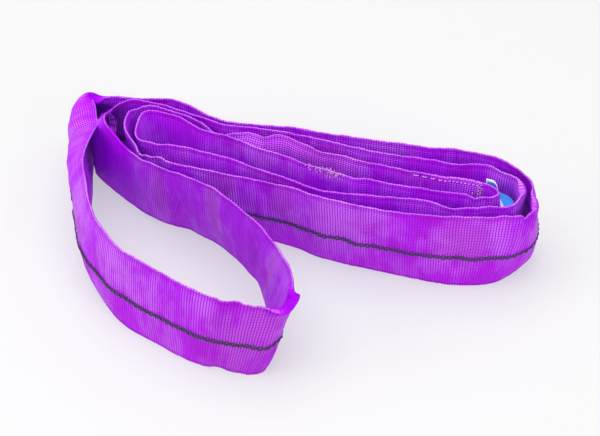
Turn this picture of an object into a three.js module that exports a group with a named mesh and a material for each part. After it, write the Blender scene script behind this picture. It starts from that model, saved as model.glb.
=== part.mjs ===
// A polyester round sling for one tonne, wound up and standing on its edge.
// An endless hank of core yarn runs inside a flat woven sleeve. The sleeve's two ends
// overlap and are sewn together, and a label is sewn in beside them.
import * as THREE from 'three';

// Driving dimensions, in millimetres.
const FLAT_WIDTH = 59;          // the sleeve pressed flat
const WALL = 1;                 // the sleeve's woven wall
const SELVEDGE = 1.4;           // thickness at the folded edges
const CORE_CLEARANCE = 0.35;    // between the core and the wall
const CORE_EDGE_GAP = 2.5;      // between the core and the hollow's edges
const CORE_EDGE = 0.15;
const SEAM_THICKNESS = 7;       // where the sleeve's two ends overlap
const SEAM_SELVEDGE = 3.4;
const HOLLOW_INSET = 3.6;       // from a folded edge in to the hollow
const SEAM_HOLLOW_INSET = 1.7;
const TIP = 0.3;                // half the flat at a folded edge, as a share of its thickness
const TUCK = { inset: 2.3, edge: 0.9, thickness: 4.3 };   // the end that is tucked inside
const TRACER_WIDTH = 2.8;
const TRACER_THICKNESS = 0.3;
const TRACER_HEIGHT = 0.44;     // its place up the band, as a fraction
const TRACER_CLEARANCE = 0.3;
const GROOVE_FLANK = 0.02;      // how far the groove's sides slope inward
const TAPE = { thickness: 0.3, clearance: 0.3, edgeGap: 5, edge: 0.9 };
const THREAD = { width: 0.7, thickness: 0.5, clearance: 0.3 };
const SEAM_ROW = { low: 0.1, high: 0.93 };
const LABEL = { thickness: 0.5, bottom: 20, top: 57 };
const LONGEST_STEP = 22;        // between two sections on a straight run
const TURN_PER_STEP = 22;       // degrees, on a bend

// The route, drawn by hand for a sleeve 56 mm wide and scaled to the real width. It is
// clockwise seen from above and starts at the seam. Each row: the lower edge's x and y,
// the upper edge's offset from it, then, where they differ from the usual, the width as
// a fraction, the thickness and how far the outer face bows outward.
const DRAWN_WIDTH = 56;
const DRAWN_CENTRE = [-9, -2];
const USUAL = [0, 0, 0, 0, 1, 4.6, 0];
const SEAM_ROWS = [[76, 38, 0, -1], [87, 39, 0, -1], [98, 38, 0, -1]];
const INNER_BEND = [[104, 35, 0, 0, 1, 4], [106, 31, 0, 0, 1, 4], [103, 27, 0, 0, 1, 4]];
const FOURTH_RUN = [
  [90, 26, 0, 0], [70, 27, 0, -2], [45, 28, 0, -3], [23, 30, 0, -4], [5, 33, 0, -4],
  [-10, 36, 0, -3], [-25, 39, 0, -3], [-42, 42.5, 0, -1.5, 1, 4], [-61, 44, 0, 0, 1, 4],
  [-74, 47, 0, 3.5, 1, 4],
];
const INNERMOST_LEFT_BEND = [
  [-83, 49, -5, 4, 1, 3.6], [-88, 46, -7, 5, 1, 3.6], [-88, 41, -8, 0, 1, 3.6],
  [-84, 38, -9, -8, 1, 3.6], [-78, 35, -6, -8, 1, 3.8],
];
const FIFTH_RUN = [
  [-70, 31, -2, -4], [-55, 30, 0, -4], [-34, 29, 0, -6], [-18, 28, 0, -9], [-2, 26, 0, -10],
  [12, 24, 0, -12], [27, 22, 0, -10], [47, 21, 0, -7], [70, 19, 0, -3], [90, 19, 0, -4],
  [105, 22, 0, -3], [115, 26, 1, -3], [121, 36, -1, -1], [117, 45, 0, -1],
];
const SECOND_RUN = [
  [108, 50, 0, -2], [98, 53, 0, -1], [84, 50, 0, -1], [62, 49, 0, 0], [40, 49, 0, -1],
  [17, 51, 0, -1], [-6, 54, 0, -2], [-31, 55, 0, -3], [-46, 55, 0, -4.5, 1, 4.2],
  [-64, 60, 0, -6, 1, 4.2], [-88, 64, 0, -5, 1, 4.2], [-106, 63.5, 0, -4, 1, 4.2],
  [-121, 64, 2, -7, 1, 4.2], [-129, 61, 7, -11, 1, 4.2],
];
const LOOP_INNER_RUN = [
  [-129, 55, 9, -11], [-118, 45, 9, -12], [-101, 34, 8, -15], [-82, 24, 4, -13],
  [-61, 20, 0, -14], [-41, 12, 1, -12], [-28, 3, 3, -13], [-16, -9, 5, -12],
  [-7, -22, 10, -12], [-1, -36, 13, -9], [2, -50, 15, -5], [4, -62, 15, 0],
];
const LOOP_OUTER_RUN = [
  [6, -71, 15, 6], [2, -76, 14, 1], [-8, -77, 11, -2], [-20, -77, 7, -3], [-34, -75, 3, -1],
  [-53, -68, 2, 0], [-74, -59, 2, 1], [-90, -45, 1, 3], [-102, -31, 4, 4, 1, 5],
  [-112, -16, 8, 5, 0.99, 6, 1], [-121, 1, 9, 4, 0.98, 8, 3], [-130, 17, 12, 4, 0.96, 10, 6],
  [-137, 36, 14, 4, 0.94, 12, 8], [-141, 52, 13, 1, 0.92, 12, 9],
  [-140, 66, 8, -4, 0.92, 11, 7], [-129, 76, 4, -15, 0.95, 8, 3],
];
const BACK_RUN = [
  [-112, 75, 0, -14, 1, 5], [-98, 72, 0, -10], [-84, 72, 0, -7], [-72, 69, 0, -7],
  [-57, 64, -1, -8], [-44, 62, -1, -8], [-30, 62, -1, -7], [-16, 62, 0, -5], [16, 61, 0, -4],
  [40, 61, 0, -3, 1, 5.4], [64, 62, 0, -3, 1, 5.4], [88, 65, 0, -4], [104, 65, -1, -6],
  [118, 62, -5, -7], [127, 56, -5, -9],
];
const FRONT_RUN = [
  [131, 45, -5, -9, 1, 5], [127, 33, 1, -9, 1, 5], [119, 24, 5, -6], [108, 18, 4, -5],
  [88, 13, 2, -5], [68, 13, 1, -8], [48, 14, 0, -10], [30, 15, 0, -10], [14, 17, -1, -10],
  [0, 21, -1, -11], [-14, 23, -1, -12], [-35, 24, 0, -12], [-52, 25, 0, -12],
  [-68, 27, -1, -13], [-79, 30, -4, -13, 1, 4],
];
const OUTER_LEFT_BEND = [
  [-89, 36, -5, -10, 1, 3.6], [-95, 43, -7, -6, 1, 3.6], [-96, 51, -7, -1, 1, 3.6],
  [-91, 57, -4, -1, 1, 3.6],
];
const THIRD_RUN = [
  [-78, 55, 0, -0.5, 1, 3.8], [-62, 51.5, 0, -2.5, 1, 4], [-50, 48, 0, -1, 0.9, 4.2],
  [-38, 47, 0, 0, 0.98, 4.2], [-26, 46, 0, -3], [-14, 47, 0, 0], [4, 43, 0, -1],
  [28, 40, 0, -1], [53, 39, 0, -1],
];
const ROUTE = [
  ...SEAM_ROWS, ...INNER_BEND, ...FOURTH_RUN, ...INNERMOST_LEFT_BEND, ...FIFTH_RUN,
  ...SECOND_RUN, ...LOOP_INNER_RUN, ...LOOP_OUTER_RUN, ...BACK_RUN, ...FRONT_RUN,
  ...OUTER_LEFT_BEND, ...THIRD_RUN,
].map((row) => [...row, ...USUAL.slice(row.length)]);

// The binding tape round the core sits on the back run, halfway along this stretch.
const TAPE_FROM_ROW = ROUTE.findIndex((row) => row[0] === 40 && row[1] === 61);
// The label's outline seen from above, from its sewn edge to its free end.
const LABEL_THREAD_FOOT = [101, 43.8];
const LABEL_LINE = [[99.5, 42.8], [106, 42], [110.5, 39], [113, 34.5], [113, 29.5], [111.5, 26.8]];

const SCALE = FLAT_WIDTH / DRAWN_WIDTH;
const toReal = (x, y) => [(x - DRAWN_CENTRE[0]) * SCALE, (y - DRAWN_CENTRE[1]) * SCALE];

// ---- The route as a closed centripetal Catmull-Rom curve through its rows ----

const rowAt = (i) => ROUTE[(i + ROUTE.length) % ROUTE.length];
const middleOf = (row) => new THREE.Vector2(row[0] + row[2] / 2, row[1] + row[3] / 2);
const mix = (a, b, t) => a.map((value, k) => value + (b[k] - value) * t);

function routeAt(place) {
  const i = Math.floor(place);
  const rows = [-1, 0, 1, 2].map((k) => rowAt(i + k));
  const knots = [0];
  for (let k = 0; k < 3; k++) {
    knots.push(knots[k] + Math.sqrt(middleOf(rows[k]).distanceTo(middleOf(rows[k + 1]))));
  }
  const u = knots[1] + (knots[2] - knots[1]) * (place - i);
  let level = rows;
  for (let span = 1; span <= 3; span++) {
    level = level.slice(1).map((row, k) => {
      const from = span === 3 ? knots[1] : knots[k];
      const to = span === 3 ? knots[2] : knots[k + span];
      return mix(level[k], row, (u - from) / (to - from));
    });
  }
  return level[0];
}

// Where the sections stand: evenly on the straights and closer together on the bends.
function sectionPlaces() {
  const places = [];
  for (let i = 0; i < ROUTE.length; i++) {
    const points = [-1, 0, 1, 2].map((k) => middleOf(rowAt(i + k)));
    const chords = [0, 1, 2].map((k) => points[k + 1].clone().sub(points[k]));
    const turn = (a, b) => Math.abs(Math.atan2(a.cross(b), a.dot(b)));
    const turned = (turn(chords[0], chords[1]) + turn(chords[1], chords[2])) / 2;
    const steps = Math.max(
      i < SEAM_ROWS.length - 1 ? 2 : 1,
      Math.ceil(chords[1].length() * SCALE / LONGEST_STEP),
      Math.round(THREE.MathUtils.radToDeg(turned) / TURN_PER_STEP),
    );
    for (let j = 0; j < steps; j++) places.push(i + j / steps);
  }
  return places;
}

// A section's frame: its lower corner, its upward direction and its outward normal.
function frameAt(place) {
  const [x, y, dx, dy, width, thickness, bow] = routeAt(place);
  const before = middleOf(routeAt(place - 0.04));
  const after = middleOf(routeAt(place + 0.04));
  const along = after.sub(before).normalize();
  const height = FLAT_WIDTH * width;
  const lean = [dx * SCALE, dy * SCALE];
  const up = new THREE.Vector3(...lean, Math.sqrt(height ** 2 - lean[0] ** 2 - lean[1] ** 2));
  up.normalize();
  const out = new THREE.Vector3(-along.y, along.x, 0);
  out.addScaledVector(up, -out.dot(up)).normalize();
  const [rx, ry] = toReal(x, y);
  const lift = Math.abs(out.z) * SELVEDGE * TIP;
  return { foot: new THREE.Vector3(rx, ry, lift), up, out, height, thickness, bow };
}

// A point of a section: up the band by a fraction of its height, then off its middle.
function pointOf(frame, fraction, offset) {
  const curve = frame.bow * 4 * fraction * (1 - fraction);
  return frame.foot.clone()
    .addScaledVector(frame.up, frame.height * fraction)
    .addScaledVector(frame.out, offset + curve);
}

// ---- Section outlines ----

// A flat tube is thick in the middle and thin at its folded edges.
function halfThickness(fraction, edge, thickness) {
  const rounder = THREE.MathUtils.clamp((thickness - 5) / 7, 0, 1) * 0.5;
  const bulge = Math.max(0, 1 - (2 * fraction - 1) ** 2) ** (1 - rounder);
  return (edge + (thickness - edge) * bulge) / 2;
}

// An outline is a list of [fraction of the whole height, offset], up the outer side and
// down the inner one. inset takes it in from both edges, in millimetres.
function outline(frame, shape, fractions) {
  const side = (sign) => fractions.map((f) => {
    const half = f === 0 || f === 1 ? shape.edge * TIP : halfThickness(f, shape.edge, shape.thickness);
    return [(shape.inset + f * (frame.height - 2 * shape.inset)) / frame.height, sign * half];
  });
  return [...side(1), ...side(-1).reverse()];
}

const OUTER_FRACTIONS = [0, 0.06, 0.25, 0.5, 0.75, 0.94, 1];
const INNER_FRACTIONS = [0, 0.2, 0.5, 0.8, 1];

// The outer outline has a groove for the tracer yarn, or four points on its face instead.
function outerOutline(frame, shape, grooved) {
  const points = outline(frame, shape, OUTER_FRACTIONS);
  const half = (TRACER_WIDTH / 2 + TRACER_CLEARANCE) / frame.height;
  const depth = grooved ? TRACER_THICKNESS + TRACER_CLEARANCE : GROOVE_FLANK;
  const face = halfThickness(TRACER_HEIGHT, shape.edge, shape.thickness);
  const low = TRACER_HEIGHT - half;
  const high = TRACER_HEIGHT + half;
  const inLow = low + GROOVE_FLANK / frame.height;
  const inHigh = high - GROOVE_FLANK / frame.height;
  points.splice(3, 0, [low, face], [inLow, face - depth], [inHigh, face - depth], [high, face]);
  return points;
}

const sleeveShape = (frame) => ({ inset: 0, edge: SELVEDGE, thickness: frame.thickness });
const seamShape = () => ({ inset: 0, edge: SEAM_SELVEDGE, thickness: SEAM_THICKNESS });
const tuckShape = () => TUCK;
const hollowOf = (shape) => ({
  inset: shape.inset + (shape.edge > 2 * WALL ? SEAM_HOLLOW_INSET : HOLLOW_INSET),
  edge: Math.max(0.3, shape.edge - 2 * WALL),
  thickness: shape.thickness - 2 * WALL,
});
// What lies in a hollow, this far in from its edges and from each of its faces.
const within = (hollow, fromEdge, fromFace, edge) => ({
  inset: hollow.inset + fromEdge,
  edge,
  thickness: hollow.thickness - 2 * fromFace,
});

// ---- Solids from rings of points ----

function solidFrom(points, triangles) {
  const geometry = new THREE.BufferGeometry();
  const numbers = points.flatMap((point) => point.toArray());
  geometry.setAttribute('position', new THREE.Float32BufferAttribute(numbers, 3));
  geometry.setIndex(triangles.flat());
  return geometry;
}

// The skin between successive rings of equal size. Reversed, it faces inward.
function skin(rings, first, closed, reversed) {
  const count = rings[0].length;
  const triangles = [];
  const last = closed ? rings.length : rings.length - 1;
  for (let i = 0; i < last; i++) {
    const here = first + i * count;
    const next = first + ((i + 1) % rings.length) * count;
    for (let j = 0; j < count; j++) {
      const k = (j + 1) % count;
      const quad = [[here + j, next + k, next + j], [here + j, here + k, next + k]];
      triangles.push(...quad.map((t) => (reversed ? [t[0], t[2], t[1]] : t)));
    }
  }
  return triangles;
}

// A flat end, cut from the outline of a ring, with another ring's outline as its hole.
function endCap(outer, firstOuter, hole, firstHole, reversed) {
  const flat = (points) => points.map(([f, offset]) => new THREE.Vector2(offset, f * FLAT_WIDTH));
  const faces = THREE.ShapeUtils.triangulateShape(flat(outer), hole ? [flat(hole)] : []);
  const number = (i) => (i < outer.length ? firstOuter + i : firstHole + i - outer.length);
  const wanted = reversed ? 1 : -1;
  const both = [...flat(outer), ...(hole ? flat(hole) : [])];
  return faces.map(([a, b, c]) => {
    const ab = both[b].clone().sub(both[a]);
    const ac = both[c].clone().sub(both[a]);
    const face = [number(a), number(b), number(c)];
    return Math.sign(ab.cross(ac)) === wanted ? face : [face[0], face[2], face[1]];
  });
}

const ring = (frame, points) => points.map(([fraction, offset]) => pointOf(frame, fraction, offset));

// A tube with a wall and open ends. Each section is { frame, outer, hollow }.
function openTube(sections) {
  const outer = sections.map(({ frame, outer: points }) => ring(frame, points));
  const hollow = sections.map(({ frame, hollow: points }) => ring(frame, points));
  const firstHollow = outer.length * outer[0].length;
  const lastOuter = (outer.length - 1) * outer[0].length;
  const lastHollow = firstHollow + (hollow.length - 1) * hollow[0].length;
  const [start, end] = [sections[0], sections.at(-1)];
  return solidFrom([...outer.flat(), ...hollow.flat()], [
    ...skin(outer, 0, false, false),
    ...skin(hollow, firstHollow, false, true),
    ...endCap(start.outer, 0, start.hollow, firstHollow, false),
    ...endCap(end.outer, lastOuter, end.hollow, lastHollow, true),
  ]);
}

// A solid bar through its sections, closed on itself or with flat ends.
function bar(sections, closed) {
  const rings = sections.map(({ frame, outer }) => ring(frame, outer));
  const triangles = skin(rings, 0, closed, false);
  if (!closed) {
    triangles.push(...endCap(sections[0].outer, 0, null, 0, false));
    triangles.push(...endCap(sections.at(-1).outer, (rings.length - 1) * rings[0].length, null, 0, true));
  }
  return solidFrom(rings.flat(), triangles);
}

// ---- The pieces ----

const PLACES = sectionPlaces();
const FRAMES = PLACES.map(frameAt);
const SEAM_END = PLACES.indexOf(SEAM_ROWS.length - 1);              // the covering end's cut edge
const TUCK_END = SEAM_END + 1;                   // the tucked end is full size past here
const BACK_TO_SEAM = FRAMES.length - 1;          // the covering end is swollen from here

// From the tucked end, all the way round, to the end that covers it.
function sleeveSections() {
  const sections = [];
  const add = (frame, shape, grooved) => sections.push({
    frame,
    shape,
    grooved,
    outer: outerOutline(frame, shape, grooved),
    hollow: outline(frame, hollowOf(shape), INNER_FRACTIONS),
  });
  FRAMES.forEach((frame, i) => {
    if (i <= TUCK_END) add(frame, tuckShape(), false);
    else if (i < BACK_TO_SEAM) add(frame, sleeveShape(frame), true);
    else add(frame, seamShape(), true);
  });
  FRAMES.slice(0, SEAM_END + 1).forEach((frame) => add(frame, seamShape(), true));
  return sections;
}

const SLEEVE = sleeveSections();
const isTaped = (place) => place >= TAPE_FROM_ROW && place <= TAPE_FROM_ROW + 1;

function coreSections() {
  return FRAMES.map((frame, i) => {
    const shape = i <= TUCK_END ? tuckShape() : sleeveShape(frame);
    const taped = isTaped(PLACES[i]);
    const fromEdge = taped ? TAPE.edgeGap + 1.2 : CORE_EDGE_GAP;
    const fromFace = CORE_CLEARANCE + (taped ? TAPE.thickness + TAPE.clearance : 0);
    const core = within(hollowOf(shape), fromEdge, fromFace, CORE_EDGE);
    return { frame, outer: outline(frame, core, INNER_FRACTIONS) };
  });
}

// Tape wound once round the core, over the knot that makes the yarn endless.
function tapeSections() {
  const places = [0.2, 0.5, 0.8].map((part) => TAPE_FROM_ROW + part);
  return places.map((place) => {
    const frame = frameAt(place);
    const hollow = hollowOf(sleeveShape(frame));
    const outer = within(hollow, TAPE.edgeGap, CORE_CLEARANCE, TAPE.edge);
    const inner = within(hollow, TAPE.edgeGap + 0.5, CORE_CLEARANCE + TAPE.thickness, 0.2);
    return {
      frame,
      outer: outline(frame, outer, INNER_FRACTIONS),
      hollow: outline(frame, inner, INNER_FRACTIONS),
    };
  });
}

// The black tracer yarn lies flush in the sleeve's outer face.
function tracerSections() {
  return SLEEVE.slice(TUCK_END + 2).map(({ frame, shape }) => {
    const half = TRACER_WIDTH / 2 / frame.height;
    const face = halfThickness(TRACER_HEIGHT, shape.edge, shape.thickness);
    const [low, high] = [TRACER_HEIGHT - half, TRACER_HEIGHT + half];
    const back = face - TRACER_THICKNESS;
    return { frame, outer: [[low, face], [high, face], [high, back], [low, back]] };
  });
}

// A thread on a face. Each point of its path is { at, off }, with off pointing off the face.
function thread(path) {
  const rings = path.map(({ at, off }, i) => {
    const toward = (j) => path[THREE.MathUtils.clamp(j, 0, path.length - 1)].at;
    const ahead = toward(i + 1).clone().sub(at);
    const behind = at.clone().sub(toward(i - 1));
    const along = ahead.normalize().add(behind.normalize()).normalize();
    const across = new THREE.Vector3().crossVectors(along, off).normalize();
    const corner = (a, b) => at.clone()
      .addScaledVector(across, a * THREAD.width / 2)
      .addScaledVector(off, b * THREAD.thickness / 2);
    return [corner(1, 1), corner(1, -1), corner(-1, -1), corner(-1, 1)];
  });
  const last = (rings.length - 1) * 4;
  return solidFrom(rings.flat(), [
    ...skin(rings, 0, false, false),
    [0, 2, 1], [0, 3, 2], [last, last + 1, last + 2], [last, last + 2, last + 3],
  ]);
}

// The seam's thread on one face: along the upper edge, down beside the cut edge and up again.
function seamThread(sign) {
  const { low, high } = SEAM_ROW;
  const steps = (from, to, count) => (
    Array.from({ length: count + 1 }, (_, i) => from + (to - from) * i / count)
  );
  const path = [
    ...steps(0.1, 1.8, 6).map((place) => [place, high]),
    ...steps(high, low, 6).slice(1).map((fraction) => [1.8, fraction]),
    ...steps(low, high - 0.08, 6).map((fraction) => [1.4, fraction]),
  ];
  return thread(path.map(([place, fraction]) => {
    const frame = frameAt(place);
    const { edge, thickness } = seamShape();
    const offset = halfThickness(fraction, edge, thickness) + THREAD.clearance + THREAD.thickness / 2;
    return { at: pointOf(frame, fraction, sign * offset), off: frame.out.clone().multiplyScalar(sign) };
  }));
}

// The label stands on edge beside the seam and curves round the bend behind it.
function labelOutline() {
  const line = LABEL_LINE.map(([x, y]) => new THREE.Vector2(...toReal(x, y)));
  const curve = new THREE.SplineCurve(line).getSpacedPoints(10);
  const side = (sign) => curve.map((point, i) => {
    const before = curve[Math.max(0, i - 1)];
    const after = curve[Math.min(curve.length - 1, i + 1)];
    const along = after.clone().sub(before).normalize();
    const across = new THREE.Vector2(-along.y, along.x);
    return point.clone().addScaledVector(across, sign * LABEL.thickness / 2);
  });
  return [...side(1), ...side(-1).reverse()];
}

function label() {
  const depth = LABEL.top - LABEL.bottom;
  const shape = new THREE.Shape(labelOutline());
  return new THREE.ExtrudeGeometry(shape, { depth, bevelEnabled: false }).translate(0, 0, LABEL.bottom);
}

// A zigzag of thread up the label's sewn edge.
function labelThread() {
  const [x, y] = toReal(...LABEL_THREAD_FOOT);
  const path = [];
  for (let z = LABEL.bottom + 2, k = 0; z < LABEL.top - 2; z += 2.5, k++) {
    path.push({ at: new THREE.Vector3(x + (k % 2) * 1.5, y, z), off: new THREE.Vector3(0, 1, 0) });
  }
  return thread(path);
}

// ---- The assembly ----

const VIOLET = new THREE.Color('#9a28e0');
const MATERIALS = {
  sleeve: { color: VIOLET, roughness: 0.55 },
  core: { color: '#f1eef4', roughness: 0.7 },
  tape: { color: '#e4ddc8', roughness: 0.5 },
  tracer: { color: '#2b1638', roughness: 0.7 },
  thread: { color: '#e79af2', roughness: 0.6 },
  label: { color: '#1f7fd6', roughness: 0.45 },
  labelThread: { color: '#f4f4f8', roughness: 0.6 },
};

const sling = new THREE.Group();
sling.name = 'round_sling';

function place(name, geometry, material) {
  const looks = new THREE.MeshStandardMaterial({ metalness: 0, ...MATERIALS[material] });
  const mesh = new THREE.Mesh(geometry, looks);
  mesh.name = name;
  sling.add(mesh);
}

place('sleeve', openTube(SLEEVE), 'sleeve');
place('core_yarn', bar(coreSections(), true), 'core');
place('core_binding_tape', openTube(tapeSections()), 'tape');
place('tracer_yarn', bar(tracerSections(), false), 'tracer');
place('seam_needle_thread', seamThread(1), 'thread');
place('seam_bobbin_thread', seamThread(-1), 'thread');
place('label', label(), 'label');
place('label_thread', labelThread(), 'labelThread');

export default sling;
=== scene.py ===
"""A polyester round sling for one tonne, wound up and standing on its edge.

The endless woven sleeve, its tracer yarns, the sewn seam, the label and the loose ends
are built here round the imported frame. Sizes are metres unless a name says otherwise.
"""
import math

import bmesh
import bpy
import numpy as np
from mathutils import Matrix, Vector


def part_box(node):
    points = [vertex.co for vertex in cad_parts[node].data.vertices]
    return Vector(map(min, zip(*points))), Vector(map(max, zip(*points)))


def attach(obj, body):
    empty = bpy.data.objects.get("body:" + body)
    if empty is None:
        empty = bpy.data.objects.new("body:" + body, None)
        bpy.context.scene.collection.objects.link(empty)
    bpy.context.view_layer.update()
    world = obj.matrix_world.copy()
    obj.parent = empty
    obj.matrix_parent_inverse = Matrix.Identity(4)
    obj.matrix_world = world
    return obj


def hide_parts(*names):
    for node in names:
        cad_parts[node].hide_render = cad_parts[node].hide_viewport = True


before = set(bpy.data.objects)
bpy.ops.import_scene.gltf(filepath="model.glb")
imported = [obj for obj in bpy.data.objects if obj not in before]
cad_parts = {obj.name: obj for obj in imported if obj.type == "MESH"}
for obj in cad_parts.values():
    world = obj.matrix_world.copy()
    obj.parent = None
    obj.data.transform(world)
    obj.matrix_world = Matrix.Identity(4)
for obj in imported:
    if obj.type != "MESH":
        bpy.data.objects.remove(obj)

bl_info = {
    "name": "Round Sling",
    "version": (1, 0, 0),
    "blender": (4, 5, 0),
    "location": "3D View > Sidebar > Sling",
    "description": "Builds a wound-up polyester round sling with its seam and label",
    "category": "Add Mesh",
}

MM = 0.001
LABEL_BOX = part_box("label")

# ---- The route: the same rows as the part's source, in its drawing units ----

# Each row: the lower edge's x and y, the upper edge's offset from it, then, where they
# differ from the usual, the width as a fraction, the thickness and the outward bow.
DRAWN_WIDTH = 56
DRAWN_CENTRE = (-9, -2)
USUAL = (0, 0, 0, 0, 1, 4.6, 0)
SEAM_ROWS = [(76, 38, 0, -1), (87, 39, 0, -1), (98, 38, 0, -1)]
INNER_BEND = [(104, 35, 0, 0, 1, 4), (106, 31, 0, 0, 1, 4), (103, 27, 0, 0, 1, 4)]
FOURTH_RUN = [
    (90, 26, 0, 0), (70, 27, 0, -2), (45, 28, 0, -3), (23, 30, 0, -4), (5, 33, 0, -4),
    (-10, 36, 0, -3), (-25, 39, 0, -3), (-42, 42.5, 0, -1.5, 1, 4), (-61, 44, 0, 0, 1, 4),
    (-74, 47, 0, 3.5, 1, 4),
]
INNERMOST_LEFT_BEND = [
    (-83, 49, -5, 4, 1, 3.6), (-88, 46, -7, 5, 1, 3.6), (-88, 41, -8, 0, 1, 3.6),
    (-84, 38, -9, -8, 1, 3.6), (-78, 35, -6, -8, 1, 3.8),
]
FIFTH_RUN = [
    (-70, 31, -2, -4), (-55, 30, 0, -4), (-34, 29, 0, -6), (-18, 28, 0, -9),
    (-2, 26, 0, -10), (12, 24, 0, -12), (27, 22, 0, -10), (47, 21, 0, -7),
    (70, 19, 0, -3), (90, 19, 0, -4), (105, 22, 0, -3), (115, 26, 1, -3),
    (121, 36, -1, -1), (117, 45, 0, -1),
]
SECOND_RUN = [
    (108, 50, 0, -2), (98, 53, 0, -1), (84, 50, 0, -1), (62, 49, 0, 0), (40, 49, 0, -1),
    (17, 51, 0, -1), (-6, 54, 0, -2), (-31, 55, 0, -3), (-46, 55, 0, -4.5, 1, 4.2),
    (-64, 60, 0, -6, 1, 4.2), (-88, 64, 0, -5, 1, 4.2), (-106, 63.5, 0, -4, 1, 4.2),
    (-121, 64, 2, -7, 1, 4.2), (-129, 61, 7, -11, 1, 4.2),
]
LOOP_INNER_RUN = [
    (-129, 55, 9, -11), (-118, 45, 9, -12), (-101, 34, 8, -15), (-82, 24, 4, -13),
    (-61, 20, 0, -14), (-41, 12, 1, -12), (-28, 3, 3, -13), (-16, -9, 5, -12),
    (-7, -22, 10, -12), (-1, -36, 13, -9), (2, -50, 15, -5), (4, -62, 15, 0),
]
LOOP_OUTER_RUN = [
    (6, -71, 15, 6), (2, -76, 14, 1), (-8, -77, 11, -2), (-20, -77, 7, -3),
    (-34, -75, 3, -1), (-53, -68, 2, 0), (-74, -59, 2, 1), (-90, -45, 1, 3),
    (-102, -31, 4, 4, 1, 5), (-112, -16, 8, 5, 0.99, 6, 1), (-121, 1, 9, 4, 0.98, 8, 3),
    (-130, 17, 12, 4, 0.96, 10, 6), (-137, 36, 14, 4, 0.94, 12, 8),
    (-141, 52, 13, 1, 0.92, 12, 9), (-140, 66, 8, -4, 0.92, 11, 7),
    (-129, 76, 4, -15, 0.95, 8, 3),
]
BACK_RUN = [
    (-112, 75, 0, -14, 1, 5), (-98, 72, 0, -10), (-84, 72, 0, -7), (-72, 69, 0, -7),
    (-57, 64, -1, -8), (-44, 62, -1, -8), (-30, 62, -1, -7), (-16, 62, 0, -5),
    (16, 61, 0, -4), (40, 61, 0, -3, 1, 5.4), (64, 62, 0, -3, 1, 5.4), (88, 65, 0, -4),
    (104, 65, -1, -6), (118, 62, -5, -7), (127, 56, -5, -9),
]
FRONT_RUN = [
    (131, 45, -5, -9, 1, 5), (127, 33, 1, -9, 1, 5), (119, 24, 5, -6), (108, 18, 4, -5),
    (88, 13, 2, -5), (68, 13, 1, -8), (48, 14, 0, -10), (30, 15, 0, -10),
    (14, 17, -1, -10), (0, 21, -1, -11), (-14, 23, -1, -12), (-35, 24, 0, -12),
    (-52, 25, 0, -12), (-68, 27, -1, -13), (-79, 30, -4, -13, 1, 4),
]
OUTER_LEFT_BEND = [
    (-89, 36, -5, -10, 1, 3.6), (-95, 43, -7, -6, 1, 3.6), (-96, 51, -7, -1, 1, 3.6),
    (-91, 57, -4, -1, 1, 3.6),
]
THIRD_RUN = [
    (-78, 55, 0, -0.5, 1, 3.8), (-62, 51.5, 0, -2.5, 1, 4), (-50, 48, 0, -1, 0.9, 4.2),
    (-38, 47, 0, 0, 0.98, 4.2), (-26, 46, 0, -3), (-14, 47, 0, 0), (4, 43, 0, -1),
    (28, 40, 0, -1), (53, 39, 0, -1),
]
ROWS = [
    *SEAM_ROWS, *INNER_BEND, *FOURTH_RUN, *INNERMOST_LEFT_BEND, *FIFTH_RUN, *SECOND_RUN,
    *LOOP_INNER_RUN, *LOOP_OUTER_RUN, *BACK_RUN, *FRONT_RUN, *OUTER_LEFT_BEND, *THIRD_RUN,
]
ROUTE = np.array([tuple(row) + USUAL[len(row):] for row in ROWS], float)
TURNS = len(ROUTE)

# The label's line and its sewn foot, seen from above.
LABEL_LINE = [
    (99.5, 42.8), (106.5, 42), (110.9, 40), (113.4, 37), (114.9, 34), (115.8, 31.5),
]
LABEL_THREAD_FOOT = (101, 43.8)

# ---- Lengths of the sleeve's section, in millimetres ----

SELVEDGE = 1.4
BEAD = 0.5                # radius of the folded edge
SEAM_PLACE = 2.0          # where the covering end is cut off
SEAM_BEGINS = TURNS - 0.8
SEAM_THICKNESS = 6.6
SEAM_BEAD = 1.2
TRACER_HEIGHT = 0.445     # its place up the band, as a fraction
SEAM_LOW = 0.1            # the seam's ends up the band, as fractions
SEAM_HIGH = 0.968

STATION_STEP = 1.36       # between two rings of the sleeve
# The distances of a face's points from either edge, up to the middle of the band.
FROM_EDGE = [
    0, 0.2, 0.55, 1.05, 1.6, 2.4, 3.6, 5.2, 7.5, 10.3, 13.4, 16.6, 19.8, 23.0, 26.2,
]
TRAVEL_STEP = 0.02        # between two places where the sleeve's length is measured
AHEAD = 0.04              # how far on either side of a place its heading is taken
CREASE_HEIGHT = 118       # both faces' height, which a crease's width is a share of


# ---- The route as a closed centripetal Catmull-Rom curve through its rows ----

def middles(rows):
    """The point of each row halfway up the band, seen from above."""
    return rows[..., 0:2] + rows[..., 2:4] / 2


def route_at(places):
    """The route's row at each place, where whole places are the rows themselves."""
    first = np.floor(places).astype(int)
    level = ROUTE[(first[:, None] + np.arange(-1, 3)) % TURNS]
    gaps = np.linalg.norm(np.diff(middles(level), axis=1), axis=2) ** 0.5
    knots = np.concatenate([np.zeros((len(places), 1)), np.cumsum(gaps, axis=1)], axis=1)
    at = knots[:, 1] + (knots[:, 2] - knots[:, 1]) * (places - first)
    for span in (1, 2, 3):
        low = knots[:, 1:2] if span == 3 else knots[:, : 4 - span]
        high = knots[:, 2:3] if span == 3 else knots[:, span:]
        share = ((at[:, None] - low) / (high - low))[..., None]
        level = level[:, :-1] + (level[:, 1:] - level[:, :-1]) * share
    rows = level[:, 0]
    for centre, reach, *change in SETTLING:
        away = np.mod(places - centre + TURNS / 2, TURNS) - TURNS / 2
        share = hump(0, reach, away)[:, None]
        rows = rows + share * np.array(change, float)
    return rows


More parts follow.
